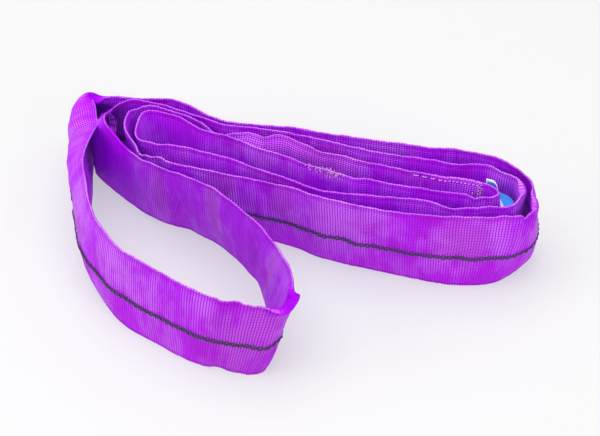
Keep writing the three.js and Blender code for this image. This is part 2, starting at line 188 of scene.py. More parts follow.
def to_real(points, flat_width):
    """Drawing units to millimetres in the object's frame."""
    return (points - np.array(DRAWN_CENTRE)) * (flat_width / DRAWN_WIDTH)


def unit(vectors):
    return vectors / np.linalg.norm(vectors, axis=-1, keepdims=True)


def smooth(low, high, values):
    """0 below low, 1 above high, and an even curve between them."""
    share = np.clip((values - low) / (high - low), 0, 1)
    return share * share * (3 - 2 * share)


def hump(centre, reach, values):
    """1 at the centre, falling evenly to 0 at reach on either side."""
    return smooth(0, 1, 1 - np.abs(values - centre) / reach)


def swell(seed, along, up, length, lean=1.1, count=6):
    """Repeatable smooth unevenness, about -1 to 1, over waves of roughly this length."""
    draw = np.random.default_rng(seed)
    total = np.zeros(np.broadcast(along, up).shape)
    for _ in range(count):
        angle = draw.uniform(-lean, lean)
        rate = 2 * math.pi * draw.uniform(0.6, 1.6) / length
        phase = draw.uniform(0, 2 * math.pi)
        total += np.sin(rate * (along * math.cos(angle) + up * math.sin(angle)) + phase)
    return total / math.sqrt(count)


# ---- Where the sleeve is folded, creased and buckled ----

# A fold turns the cloth above its crease. Each: the places where it begins, is full and
# ends, the crease's fraction of the height at each, the angle outward in degrees, and the
# crease's width in millimetres.
FOLDS = [
    (68.6, 72.4, 77.6, -0.2, -0.2, -0.2, 13, 8.0),
    (69.0, 73.2, 78.0, 0.82, 0.75, 0.86, -68, 13.0),
    (45.6, 47.9, 49.9, 0.90, 0.74, 0.90, 112, 5.0),
    (61.0, 61.9, 63.2, 0.94, 0.84, 0.94, 20, 6.0),
    (112.0, 115.2, 118.4, 0.93, 0.84, 0.93, 26, 9.0),
]
# A buckle pushes both faces out by so many millimetres, at a place and a fraction of the
# height, over so many millimetres along and up.
BUCKLES = [
    (51.6, 0.6, -1.1, 9, 60), (53.0, 0.5, 0.9, 8, 70), (54.4, 0.6, -1.2, 9, 60),
    (56.2, 0.45, 1.0, 9, 60), (57.6, 0.65, -1.1, 8, 50), (59.2, 0.4, 0.9, 7, 40),
    (63.0, 0.9, 1.0, 4, 24), (63.5, 0.92, -1.2, 4, 22), (64.0, 0.9, 0.9, 4, 22),
    (71.6, 0.3, 1.2, 12, 40), (73.2, 0.75, -1.3, 8, 30), (105.5, 0.9, -1.8, 5, 22),
    (106.4, 0.9, 1.6, 5, 22), (8.6, 0.9, 0.8, 9, 24), (1.1, 0.9, 0.8, 6, 30),
    (119.2, 0.88, -1.0, 9, 26), (117.7, 0.9, 1.1, 9, 24), (116.4, 0.9, -1.2, 10, 24),
    (115.0, 0.9, 1.1, 8, 24), (93.2, 0.94, 1.0, 6, 18), (92.0, 0.95, -1.2, 5, 18),
]
# Painted highlights and painted shade on the sleeve, with the pale frayed cut edge and the
# fuzz
# of the loose tuft. Each: the place, the height, how far it reaches along and up in
# millimetres, and how pale, which is below 0 where the patch paints shade, at tucked crests
# and shaded faces.
PAINTED_LIGHT_AND_FUZZ_PATCHES = [
    (61.2, 1.0, 17, 7, -1.6), (75.6, 1.0, 13, 6, -1.4),
    (73.0, 0.72, 20, 22, 0.6), (75.5, 0.85, 16, 18, 0.3), (116.6, 0.9, 66, 30, 1.3),
    (119.4, 0.95, 20, 10, 0.7), (112.5, 0.9, 30, 12, 0.6), (50.4, 0.5, 22, 120, -1.2),
    (52.2, 0.6, 8, 70, 0.9), (54.0, 0.7, 9, 60, 1.1), (55.3, 0.5, 7, 60, -0.6),
    (57.3, 0.7, 10, 50, 0.9), (67.0, 0.75, 34, 36, 0.4), (63.0, 0.45, 34, 90, 0.9),
    (69.5, 0.6, 26, 30, 0.7), (99.0, 0.75, 46, 34, 0.6), (95.8, 0.66, 34, 36, 0.9),
    (103.4, 0.85, 22, 26, 0.8), (101.4, 0.8, 14, 30, 0.8), (92.6, 0.8, 16, 24, 0.9),
    (12.0, 0.92, 40, 14, 0.7), (5.0, 0.7, 14, 30, 0.7), (34.6, 0.7, 16, 36, 0.9),
    (48.6, 0.88, 12, 14, 0.9), (20.6, 0.6, 40, 40, 0.7), (9.4, 0.99, 14, 8, 1.6),
    (1.93, 0.5, 2.2, 90, 1.8), (32.5, 0.8, 12, 30, 0.7), (24.0, 0.85, 26, 16, 0.6),
    (40.0, 0.8, 30, 24, 0.6), (86.0, 0.8, 40, 24, 0.5), (82.0, 0.8, 30, 20, 0.5),
]
# A dip lowers the upper edge, or lifts the lower one: the place, its reach in
# millimetres along the sleeve, and its depth in millimetres.
TOP_DIPS = [
    (93.9, 3.2, 3.4), (93.35, 3, -1.2), (92.85, 3, 3.0), (94.9, 5, -1.2),
    (113.9, 6, 1.6), (29.7, 9, 1.8), (31.0, 8, -1.0),
    (63.3, 3, 0.9), (63.7, 3, -0.6), (67.0, 9, 0.7), (106.3, 4, 2.4),
    (105.3, 4, -1.2), (117.2, 8, 1.2), (115.2, 8, 1.2), (1.0, 7, 1.0), (5.6, 5, 2.4),
    (60.2, 5, 1.6), (47.2, 4, 1.5), (20.4, 5, 1.0), (109.4, 5, 1.2), (90.6, 6, 1.2),
]
FOOT_DIPS = [(63.8, 9, 2.2), (62.4, 5, -0.8), (51.9, 12, 1.2), (56.4, 14, 1.6)]
# Where the crest is tucked in between the two faces at a tight bend: the place, the reach
# in millimetres along, how far each face stands out there, and the tuck's depth.
TUCKS = [(61.2, 15, 2.6, 5.0), (75.6, 11, 1.8, 4.0), (33.4, 8, 1.6, 3.5), (92.6, 9, 1.6, 3.0)]
# How the cloth settles away from the drawn rows: the place, the reach in rows, then the
# change of the foot's x and y, the lean's x and y, the width, thickness and bow.
SETTLING = [
    (73.1, 4.6, 11.5, 0, -11, 0, 0.04, -4.0, -6.5),
    (76.2, 2.0, -2, 0, 1, 0, 0.03, 0, 0),
    (69.4, 3.2, 0, 0, -2.5, 0, 0, 1.0, 4.0), (93.0, 2.8, -5, 1, 5, 0, 0, 0, 1.5),
    (33.0, 1.6, -1.5, 0, 1.5, 0, 0, 0, 0), (4.0, 2.2, 2.0, 0, 0, 0, 0, 0, 0),
    (48.2, 1.8, 0.5, -1.5, -3, 2, 0, 0, 0),
]


class Sleeve:
    """The sleeve's shape: any point of either face, from its place and its height."""

    FINE = 240            # steps up the band in which its folds are added up
    CLEARANCE = 0.03      # of the lowest point above the floor

    def __init__(self, flat_width):
        self.flat_width = flat_width
        self.places = np.arange(0, TURNS + TRAVEL_STEP, TRAVEL_STEP)
        centre = to_real(middles(route_at(self.places)), flat_width)
        steps = np.linalg.norm(np.diff(centre, axis=0), axis=1)
        self.travel = np.concatenate([[0], np.cumsum(steps)])
        self.length = self.travel[-1]
        self.start = np.interp(SEAM_PLACE, self.places, self.travel)

    def run_of(self, places):
        """Millimetres along the sleeve from the covering end's cut edge."""
        travelled = np.interp(np.mod(places, TURNS), self.places, self.travel)
        return np.mod(travelled - self.start, self.length)

    def place_of(self, runs):
        return np.interp(np.mod(runs + self.start, self.length), self.travel, self.places)

    def frames(self, places):
        """The lower corner, upward direction, outward normal and row at each place."""
        rows = route_at(places)
        along = unit(middles(route_at(places + AHEAD)) - middles(route_at(places - AHEAD)))
        height = self.flat_width * rows[:, 4]
        lean = rows[:, 2:4] * (self.flat_width / DRAWN_WIDTH)
        rise = np.sqrt(height**2 - (lean**2).sum(axis=1))
        up = unit(np.column_stack([lean, rise]))
        out = np.column_stack([-along[:, 1], along[:, 0], np.zeros(len(places))])
        out = unit(out - (out * up).sum(axis=1, keepdims=True) * up)
        foot = np.zeros((len(places), 3))
        foot[:, :2] = to_real(rows[:, 0:2], self.flat_width)
        foot[:, 2] = np.abs(out[:, 2]) * SELVEDGE * 0.3
        return foot, up, out, height, rows

    def covered(self, places):
        """How far the covering end lies over the tucked one, from 0 to 1."""
        wrapped = np.mod(places, TURNS)
        begins = smooth(SEAM_BEGINS, TURNS - 0.05, wrapped)
        return np.where(wrapped < SEAM_PLACE, 1.0, begins)

    def half_thickness(self, fractions, height, rows, covered):
        thick = rows[:, 5:6] + (SEAM_THICKNESS - rows[:, 5:6]) * covered
        bead = BEAD + (SEAM_BEAD - BEAD) * covered
        rounder = np.clip((thick - 5) / 7, 0, 1) * 0.5
        bulge = np.maximum(0, 1 - (2 * fractions - 1) ** 2) ** (1 - rounder)
        lens = (SELVEDGE + (thick - SELVEDGE) * bulge) / 2
        edge = np.minimum(fractions, 1 - fractions) * height
        lens = lens * (1 - 0.3 * np.exp(-(((edge - 2.2) / 0.9) ** 2)))
        round_edge = np.sqrt(np.maximum(0, bead**2 - (np.minimum(edge, 2 * bead) - bead) ** 2))
        return np.where(edge < bead, round_edge, np.maximum(round_edge, lens))

    def turning(self, places, fine):
        """The cloth's angle outward from the band's own plane, over its height."""
        angle = np.zeros((len(places), fine.shape[1]))
        for begin, full, end, low, mid, high, degrees, width in FOLDS:
            amount = smooth(begin, full, places) * (1 - smooth(full, end, places))
            crease = np.interp(places, [begin, full, end], [low, mid, high])[:, None]
            spread = width / CREASE_HEIGHT
            share = smooth(crease - spread, crease + spread, fine)
            angle += np.radians(degrees) * amount[:, None] * share
        return angle

    def points(self, places, fractions, side, lift=0.0, depth=1.0):
        """Points on a face, in metres, where fractions has one row for each place."""
        foot, up, out, height, rows = self.frames(places)
        tall = height[:, None]
        fine = np.linspace(0, 1, self.FINE + 1)[None, :]
        angle = self.turning(places, fine)
        step = tall / self.FINE
        rise = np.cumsum(np.cos(angle), axis=1) * step - np.cos(angle[:, :1]) * step
        jut = np.cumsum(np.sin(angle), axis=1) * step - np.sin(angle[:, :1]) * step
        at = np.clip(fractions, 0, 1) * self.FINE
        low = np.minimum(at.astype(int), self.FINE - 1)
        share = at - low
        row = np.arange(len(places))[:, None]

        def pick(table):
            return table[row, low] * (1 - share) + table[row, low + 1] * share

        turned = pick(angle)
        curve = rows[:, 6:7] * 4 * fractions * (1 - fractions)
        covered = self.covered(places)[:, None]
        half = self.half_thickness(fractions, tall, rows, covered)
        run = self.run_of(places)[:, None]
        both, own = self.unevenness(places[:, None], run, fractions * tall, fractions, side)
        spread, sunk = self.tucked(run, fractions)
        across = side * (half + own + spread) * depth + both + side * lift
        rise = pick(rise) + self.edge_waves(run, fractions) - np.sin(turned) * across - sunk
        jut = pick(jut) + curve + np.cos(turned) * across
        spots = (
            foot[:, None, :]
            + up[:, None, :] * rise[..., None]
            + out[:, None, :] * jut[..., None]
        )
        spots[..., 2] = np.maximum(spots[..., 2], self.CLEARANCE)
        return spots * MM

    def edge_waves(self, run, fractions):
        """The small scallops along both folded edges, and the larger dips in them."""
        top = smooth(0.94, 1.0, fractions)
        foot = smooth(0.94, 1.0, 1 - fractions)
        scallop = 0.14 * np.sin(2 * math.pi * run / 4.1) + 0.3 * swell(5, run, 0, 17)
        waves = top * scallop + foot * 0.34 * np.abs(swell(6, run, 0, 4.6))
        upper, lower = smooth(0.7, 1.0, fractions), smooth(0.8, 1.0, 1 - fractions)
        for place, reach, depth in TOP_DIPS:
            waves = waves - depth * upper * hump(self.run_at(place), reach, run)
        for place, reach, depth in FOOT_DIPS:
            waves = waves + depth * lower * hump(self.run_at(place), reach, run)
        return waves

    def tucked(self, run, fractions):
        """How far each face stands out beside a tucked crest, and how far that sinks."""
        spread = np.zeros(np.broadcast(run, fractions).shape)
        sunk = spread.copy()
        rim = smooth(0.8, 0.965, fractions) * (1 - smooth(0.992, 1.0, fractions))
        floor = smooth(0.975, 1.0, fractions)
        for place, reach, wide, deep in TUCKS:
            share = hump(self.run_at(place), reach, run)
            spread = spread + wide * share * rim
            sunk = sunk + deep * share * floor
        return spread, sunk

    def run_at(self, place):
        return self.run_of(np.array([place % TURNS]))[0]

    def unevenness(self, places, run, up, fractions, side):
        """How far both faces move outward together, and how far one swells by itself."""
        inner = fractions * (1 - fractions) * 4
        ends = smooth(0, 12, run) * (1 - smooth(self.length - 12, self.length, run))
        both = 0.2 * swell(1, run, up, 46) * (0.4 + 0.6 * inner)
        seed = 11 if side > 0 else 12
        wide = swell(seed, run, up, 21, 0.5)
        fine = swell(seed + 4, run, up, 8, 0.9)
        crease = 0.5 - np.abs(swell(seed + 8, run, up, 34, 0.7))
        own = (0.3 * wide + 0.12 * fine + 0.4 * crease) * np.sqrt(np.maximum(inner, 0))
        for place, height, push, long, tall in BUCKLES:
            both = both + push * hump(self.run_at(place), long, run) * hump(
                height, tall / self.flat_width, fractions
            )
        return both * ends, own * (0.3 + 0.7 * ends)


# ---- Meshes ----

def mesh_object(name, points, faces):
    """A smooth-shaded mesh object."""
    mesh = bpy.data.meshes.new(name)
    mesh.from_pydata([tuple(p) for p in points], [], faces)
    mesh.polygons.foreach_set("use_smooth", [True] * len(mesh.polygons))
    mesh.update()
    piece = bpy.data.objects.new(name, mesh)
    bpy.context.scene.collection.objects.link(piece)
    return piece


def new_object(name, points, faces, body="sling"):
    """A smooth-shaded mesh object that rides on a body."""
    piece = mesh_object(name, points, faces)
    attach(piece, body)
    return piece


def lay_weave(piece, along, up):
    """Stores how far along and up the cloth each corner of each face is, in metres."""
    layer = piece.data.uv_layers.new(name="band")
    layer.data.foreach_set("uv", np.column_stack([along, up]).ravel())


def corners_of(piece):
    """The point that each corner of each face stands on."""
    corners = np.empty(len(piece.data.loops), int)
    piece.data.loops.foreach_get("vertex_index", corners)
    return corners


def ring_faces(rings, count, closed=False):
    """Quads between successive rings of count points, facing outward."""
    faces = []
    for i in range(rings if closed else rings - 1):
        here = i * count
        ahead = ((i + 1) % rings) * count
        for j in range(count):
            k = (j + 1) % count
            faces.append((here + j, here + k, ahead + k, ahead + j))
    return faces


TAPER = 0.15              # of a thread's radius, at its two ends


def tube(path, radius, sides=6, flatness=1.0, normals=None):
    """Rings of a rounded thread along a path, tapered shut at both ends."""
    along = unit(np.gradient(path, axis=0))
    if normals is None:
        normals = np.tile([0.0, 0.0, 1.0], (len(path), 1))
    normals = unit(normals - (normals * along).sum(axis=1, keepdims=True) * along)
    across = np.cross(along, normals)
    turn = np.arange(sides) * 2 * math.pi / sides
    radii = np.full(len(path), radius)
    radii[0] *= TAPER
    radii[-1] *= TAPER
    offset = (
        across[:, None, :] * np.cos(turn)[None, :, None]
        + normals[:, None, :] * (np.sin(turn) * flatness)[None, :, None]
    )
    points = path[:, None, :] + offset * radii[:, None, None]
    faces = ring_faces(len(path), sides)
    last = (len(path) - 1) * sides
    faces.append(tuple(range(sides))[::-1])
    faces.append(tuple(last + j for j in range(sides)))
    return points.reshape(-1, 3), faces


def joined(tubes):
    """Several tubes as one list of points and one of faces."""
    points, faces, count = [], [], 0
    for some_points, some_faces in tubes:
        points.append(some_points)
        faces += [tuple(count + i for i in face) for face in some_faces]
        count += len(some_points)
    return np.concatenate(points), faces


def facing_out(piece):
    """Turns every face of a closed mesh outward."""
    shape = bmesh.new()
    shape.from_mesh(piece.data)
    bmesh.ops.recalc_face_normals(shape, faces=shape.faces)
    shape.to_mesh(piece.data)
    shape.free()
    return piece


# ---- Materials, written as expressions on sockets ----

class Socket:
    """A shader socket that can stand in an expression with numbers and other sockets."""

    def __init__(self, recipe, socket):
        self.recipe, self.socket = recipe, socket

    def maths(self, operation, *values):
        return self.recipe.node("ShaderNodeMath", {"operation": operation}, *values)

    def __add__(self, other):
        return self.maths("ADD", self, other)

    __radd__ = __add__

    def __sub__(self, other):
        return self.maths("SUBTRACT", self, other)

    def __rsub__(self, other):
        return self.maths("SUBTRACT", other, self)

    def __mul__(self, other):
        return self.maths("MULTIPLY", self, other)

    __rmul__ = __mul__

    def __truediv__(self, other):
        return self.maths("DIVIDE", self, other)

    def __abs__(self):
        return self.maths("ABSOLUTE", self)

    def __mod__(self, other):
        return self.maths("FLOORED_MODULO", self, other)

    def between(self, low, high, out_low=0.0, out_high=1.0):
        """The values from low to high spread smoothly over the output's range."""
        settings = {"interpolation_type": "SMOOTHSTEP"}
        values = {
            "Value": self, "From Min": low, "From Max": high,
            "To Min": out_low, "To Max": out_high,
        }
        return self.recipe.node("ShaderNodeMapRange", settings, **values)


class Recipe:
    """A material being written: it makes nodes and joins them."""

    def __init__(self, name):
        self.material = bpy.data.materials.new(name)
        self.material.use_nodes = True
        self.tree = self.material.node_tree
        self.shader = self.tree.nodes["Principled BSDF"]

    def put(self, socket, value):
        """Links a socket or sets its value, where a colour may leave out its alpha."""
        if isinstance(value, Socket):
            self.tree.links.new(value.socket, socket)
        elif socket.type == "RGBA" and len(value) == 3:
            socket.default_value = (*value, 1)
        else:
            socket.default_value = value

    def node(self, kind, settings, *values, out=0, **named):
        """A node of any type: its settings, its inputs by position or name, an output.

        An input whose value is None is passed over.
        """
        made = self.tree.nodes.new(kind)
        for name, value in settings.items():
            setattr(made, name, value)
        for place, value in enumerate(values):
            if value is not None:
                self.put(made.inputs[place], value)
        for name, value in named.items():
            self.put(made.inputs[name.replace("_", " ")], value)
        return Socket(self, made.outputs[out])

    def mix(self, share, below, above):
        """One colour over another by a share from 0 to 1."""
        settings = {"data_type": "RGBA", "blend_type": "MIX", "clamp_factor": True}
        numbers = [None] * 5      # the inputs of the node's other data types
        return self.node("ShaderNodeMix", settings, share, *numbers, below, above, out=2)

    def stretched(self, vector, scale):
        return self.node("ShaderNodeVectorMath", {"operation": "MULTIPLY"}, vector, scale)

    def parts(self, vector):
        """The three numbers of a vector."""
        first = self.node("ShaderNodeSeparateXYZ", {}, vector)
        return [Socket(self, each) for each in first.socket.node.outputs]

    def noise(self, vector, scale, detail=2.0, rough=0.5):
        return self.node(
            "ShaderNodeTexNoise", {"noise_dimensions": "3D"},
            Vector=vector, Scale=scale, Detail=detail, Roughness=rough,
        )

    def band(self):
        """Metres along the sleeve and up it, and the vector of the two."""
        vector = self.node("ShaderNodeUVMap", {"uv_map": "band"})
        along, up, _ = self.parts(vector)
        return vector, along, up

    def place(self):
        return self.node("ShaderNodeTexCoord", {}, out=3)

    def bump(self, height, distance):
        return self.node(
            "ShaderNodeBump", {}, Strength=1.0, Distance=distance, Height=height)

    def finish(self, varying, **constant):
        """Sets the shader: linked inputs first, then the ones that stay the same."""
        for name, value in varying.items():
            self.put(self.shader.inputs[name], value)
        for name, value in constant.items():
            self.shader.inputs[name.replace("_", " ")].default_value = value
        return self.material


def colour(value):
    return tuple(float(part) for part in value)


def rounded(value):
    """A ridge from 0 to 1 and back as a value goes from one whole number to the next."""
    share = value % 1.0
    return 4.0 * share * (1.0 - share)


def sleeve_weave(look, flat_width):
    """Ribbed polyester weave with painted highlights on the warp beads and along the edges,
    painted shade between the yarns and in patches, and a lilac upper zone that is partly
    painted top light.
    """
    recipe = Recipe("sleeve_weave")
    vector, along, up = recipe.band()
    drift = recipe.noise(vector, 55.0, 2.0)
    slow = recipe.noise(vector, 22.0, 3.0, 0.6)
    streak = recipe.noise(recipe.stretched(vector, (1, 0.22, 1)), 130.0, 3.0, 0.6)
    yarn = recipe.noise(recipe.stretched(vector, (1, 0.12, 1)), 700.0, 1.0)
    opened = recipe.node("ShaderNodeAttribute", {"attribute_name": "openness"}, out=2)
    # The painted highlight and shade patches, with the pale fuzz, stored on the sleeve.
    light_and_fuzz = recipe.node("ShaderNodeAttribute", {"attribute_name": "painted_light_and_fuzz"}, out=2)
    rib = rounded(along / look.rib_pitch + drift * 0.9)
    bead = rounded(up / look.row_pitch + drift * 0.6)
    weave = rib * (0.25 + 0.75 * bead)
    high = up / flat_width
    from_edge = 0.5 - abs(high - 0.5)
    lower, upper = colour(look.lower_colour), colour(look.upper_colour)
    # Magenta below to bluer lilac above: partly painted top light on the leaning faces, partly
    # the cloth's own shift.
    cloth = recipe.mix(high.between(0.1, 0.95), lower, upper)
    # Painted lilac highlights where the yarns catch the light: in random patches and in the
    # painted highlight patches.
    sheeny = (slow * 0.55 + streak * 0.45 + light_and_fuzz * 0.2).between(0.46, 0.63)
    cloth = recipe.mix(sheeny * 0.4, cloth, colour(look.lilac_colour))
    cloth = recipe.mix(weave.between(0.0, 0.5, 0.8, 0.0), cloth, colour(look.gap_colour))
    cloth = recipe.mix(yarn.between(0.5, 0.8) * 0.35, cloth, colour(look.gap_colour))
    # Painted highlight on the crowns of the warp beads, stronger where the weave is open and
    # in the highlight patches.
    dots = (rib * bead).between(0.3, 0.9)
    dot_share = dots * (0.12 + opened * 0.6 + light_and_fuzz * 0.5) * (0.25 + sheeny * 0.95)
    cloth = recipe.mix(dot_share, cloth, colour(look.bead_highlight_colour))
    # A painted highlight wherever the highlight patches are strongest.
    cloth = recipe.mix(light_and_fuzz.between(0.5, 2.2, 0.0, 0.25), cloth, colour(look.bead_highlight_colour))
    # Darker where the yarns lie flat in random patches, and painted shade where the patches
    # are below 0.
    satin_and_shade = (slow - light_and_fuzz * 0.3).between(0.28, 0.46, 1.0, 0.0)
    cloth = recipe.mix(satin_and_shade * 0.55, cloth, colour(look.satin_and_shade_colour))
    # A painted highlight along both folded edges, with their pale fuzz, notched by the ribs
    # and left off at tucked crests.
    piping = from_edge.between(0.003, 0.009, 1.0, 0.0)
    nick = rounded(along / (look.rib_pitch * 1.4) + drift)
    piping = piping * light_and_fuzz.between(-0.7, -0.1)
    cloth = recipe.mix(piping * (0.05 + 0.3 * nick), cloth, colour(look.edge_highlight_and_fuzz_colour))
    # Painted shade in the crease just inside each folded edge.
    trough = from_edge.between(0.012, 0.022) * from_edge.between(0.03, 0.06, 1.0, 0.0)
    cloth = recipe.mix(trough * 0.35, cloth, colour(look.gap_colour))
    rough = 0.46 + 0.12 * (1.0 - weave) - 0.12 * sheeny
    height = weave * (0.6 + 0.4 * opened) + streak * 0.5 + piping * nick * 0.8
    normal = recipe.bump(height, look.rib_depth)
    return recipe.finish(
        {"Base Color": cloth, "Roughness": rough, "Normal": normal},
        Sheen_Weight=look.sheen, Sheen_Roughness=0.35,
        Sheen_Tint=(0.8, 0.2, 1.0, 1),
        Specular_IOR_Level=0.1, Specular_Tint=(0.75, 0.12, 1.0, 1),
    )


def twisted_thread(name, base, light, pitch=0.0011, rough=0.6, sheen=0.25):
    """Plied yarn: slanting strands with a painted highlight where they crown, on any thin
    thread.
    """
    recipe = Recipe(name)
    here = recipe.place()
    across, deep, high = recipe.parts(here)
    grain = recipe.noise(here, 900.0, 2.0)
    strand = rounded((across + deep * 0.8 + high * 1.3) / pitch + grain * 0.5)
    # Painted highlight on the crown of each strand.
    cloth = recipe.mix(strand.between(0.3, 1.0) * 0.6, base, light)
    cloth = recipe.mix(grain.between(0.45, 0.8) * 0.3, cloth, light)
    return recipe.finish(
        {
            "Base Color": cloth,
            "Roughness": rough + (grain - 0.5) * 0.2,
            "Normal": recipe.bump(strand, 0.0002),
        },
        Sheen_Weight=sheen, Sheen_Roughness=0.4,
    )


def label_cloth(look):
    """Fine taffeta, blue on its printed side, with a white folded hem along the top."""
    row_height, end_width = 0.0007, 0.0006
    hem_height, side_hem_width = (0.0352, 0.0356), (0.0006, 0.0011)
    recipe = Recipe("label_cloth")
    vector, along, up = recipe.band()
    grain = recipe.noise(vector, 700.0, 2.0)
    rows = rounded(up / row_height + grain * 0.3)
    ends = rounded(along / end_width)
    hem = up.between(*hem_height)
    side_hem = along.between(*side_hem_width, 1.0, 0.0)
    pale = hem.maths("MAXIMUM", hem, side_hem)
    # Painted highlight on the crown of each row of the weave.
    cloth = recipe.mix(rows * 0.25, colour(look.blue), colour(look.light_blue))
    cloth = recipe.mix(pale * (0.85 + 0.15 * rows), cloth, colour(look.hem_white))
    cloth = recipe.mix(grain.between(0.5, 0.8) * 0.12, cloth, colour(look.light_blue))
    return recipe.finish(
        {
            "Base Color": cloth,
            "Roughness": 0.38 + 0.2 * rows,
            "Normal": recipe.bump(rows * ends, 0.00012),
        },
        Sheen_Weight=0.2, Sheen_Roughness=0.4,
    )


def core_fibre():
    """Parallel polyester filaments, white, with painted shade making soft grey channels
    between the hanks.
    """
    recipe = Recipe("core_fibre")
    hank_height, filament_height = 0.0042, 0.0006
    here = recipe.place()
    high = recipe.parts(here)[2]
    wander = recipe.noise(here, 40.0, 2.0)
    hank = rounded(high / hank_height + wander * 1.5)
    filament = rounded(high / filament_height + wander * 9.0)
    # Painted shade in the channels between the hanks.
    cloth = recipe.mix(hank.between(0.0, 0.6), (0.55, 0.53, 0.6), (0.9, 0.89, 0.92))
    cloth = recipe.mix(filament * 0.25, cloth, (0.72, 0.7, 0.78))
    return recipe.finish(
        {
            "Base Color": cloth,
            "Roughness": 0.5 + 0.25 * filament,
            "Normal": recipe.bump(hank * 0.7 + filament * 0.3, 0.0005),
        },
        Sheen_Weight=0.4, Sheen_Roughness=0.3,
    )


def binding_tape():
    """Crepe tape: fine cross wrinkles, with painted shade making the creases slightly darker.
    """
    recipe = Recipe("binding_tape")
    wrinkle = 0.0009
    here = recipe.place()
    across = recipe.parts(here)[0]
    wander = recipe.noise(here, 300.0, 3.0)
    crepe = rounded(across / wrinkle + wander * 1.2)
    # Painted shade in the creases of the crepe.
    cloth = recipe.mix(crepe, (0.5, 0.44, 0.3), (0.78, 0.72, 0.56))
    return recipe.finish(
        {
            "Base Color": cloth,
            "Roughness": 0.45 + 0.25 * wander,
            "Normal": recipe.bump(crepe + wander, 0.0003),
        },
    )


def floor_paint(look):
    """Matt white paper sweep, with the faintest tooth."""
    recipe = Recipe("floor_paper")
    here = recipe.place()
    tooth = recipe.noise(here, 220.0, 3.0)
    cloth = recipe.mix(tooth * 0.04, colour(look.floor_colour), (0.8, 0.8, 0.82))
    return recipe.finish(
        {"Base Color": cloth, "Roughness": 0.7 + 0.1 * tooth},
        Emission_Color=(1, 1, 1, 1), Emission_Strength=look.floor_glow,
        Specular_IOR_Level=0.1,
    )


# ---- Settings ----

class SlingSleeveSettings(bpy.types.PropertyGroup):
    """Sizes and colours of the woven sleeve."""

    flat_width: bpy.props.FloatProperty(
        name="Flat width", description="Width of the sleeve pressed flat",
        default=0.059, min=0.03, max=0.12, precision=4, unit="LENGTH")
    rib_pitch: bpy.props.FloatProperty(
        name="Rib pitch", description="Distance between two ribs along the sleeve",
        default=0.0015, min=0.0005, max=0.005, precision=4, unit="LENGTH")
    row_pitch: bpy.props.FloatProperty(
        name="Row pitch", description="Distance between two rows of beads up the sleeve",
        default=0.00125, min=0.0005, max=0.005, precision=4, unit="LENGTH")
    rib_depth: bpy.props.FloatProperty(
        name="Rib depth", description="Relief of the weave",
        default=0.0005, min=0.0, max=0.002, precision=5, unit="LENGTH")
    sheen: bpy.props.FloatProperty(
        name="Sheen", description="Softness of the fibres' glow",
        default=0.01, min=0, max=1, subtype="FACTOR")
    lower_colour: bpy.props.FloatVectorProperty(
        name="Lower colour", description="Violet near the lower edge",
        default=(0.53, 0.001, 0.90), size=3, min=0, max=1, subtype="COLOR")
    upper_colour: bpy.props.FloatVectorProperty(
        name="Upper colour", description="Violet near the upper edge",
        default=(0.49, 0.005, 0.94), size=3, min=0, max=1, subtype="COLOR")
    gap_colour: bpy.props.FloatVectorProperty(
        name="Gap colour", description="Shade between the yarns",
        default=(0.30, 0.0005, 0.50), size=3, min=0, max=1, subtype="COLOR")
    # Darker violet: yarns lying flat in random patches, and painted shade at tucked crests and
    # shaded faces.
    satin_and_shade_colour: bpy.props.FloatVectorProperty(
        name="Satin colour", description="Where the yarns lie flat and close",
        default=(0.39, 0.0005, 0.60), size=3, min=0, max=1, subtype="COLOR")
    lilac_colour: bpy.props.FloatVectorProperty(
        name="Lilac colour", description="Where the yarns catch the light",
        default=(0.51, 0.055, 0.97), size=3, min=0, max=1, subtype="COLOR")
    # A painted highlight on the crowns of the warp yarns.
    bead_highlight_colour: bpy.props.FloatVectorProperty(
        name="Bead colour", description="Crown of the warp yarns",
        default=(0.84, 0.34, 1.0), size=3, min=0, max=1, subtype="COLOR")
    # A painted highlight along the folded edges, with their pale fuzz.
    edge_highlight_and_fuzz_colour: bpy.props.FloatVectorProperty(
        name="Edge colour", description="The folded edges' bright line",
        default=(0.8, 0.3, 0.93), size=3, min=0, max=1, subtype="COLOR")


class SlingThreadSettings(bpy.types.PropertyGroup):
    """Sizes and colours of the tracer yarns and of the sewing."""

    tracer_width: bpy.props.FloatProperty(
        name="Tracer width", description="Width over both tracer yarns",
        default=0.0036, min=0.001, max=0.01, precision=4, unit="LENGTH")
    tracer_pitch: bpy.props.FloatProperty(
        name="Tracer pitch", description="Length of one link of the crossing yarns",
        default=0.0036, min=0.001, max=0.02, precision=4, unit="LENGTH")
    tracer_dark: bpy.props.FloatVectorProperty(
        name="Tracer colour", description="Colour of the tracer yarns",
        default=(0.020, 0.006, 0.055), size=3, min=0, max=1, subtype="COLOR")
    tracer_light: bpy.props.FloatVectorProperty(
        name="Tracer highlight", description="Crown of the tracer yarns",
        default=(0.10, 0.06, 0.18), size=3, min=0, max=1, subtype="COLOR")
    stitch_length: bpy.props.FloatProperty(
        name="Stitch length", description="Length of one stitch of the seam",
        default=0.0016, min=0.001, max=0.01, precision=4, unit="LENGTH")
    stitch_colour: bpy.props.FloatVectorProperty(
        name="Stitch colour", description="Colour of the seam's thread",
        default=(0.72, 0.2, 0.92), size=3, min=0, max=1, subtype="COLOR")


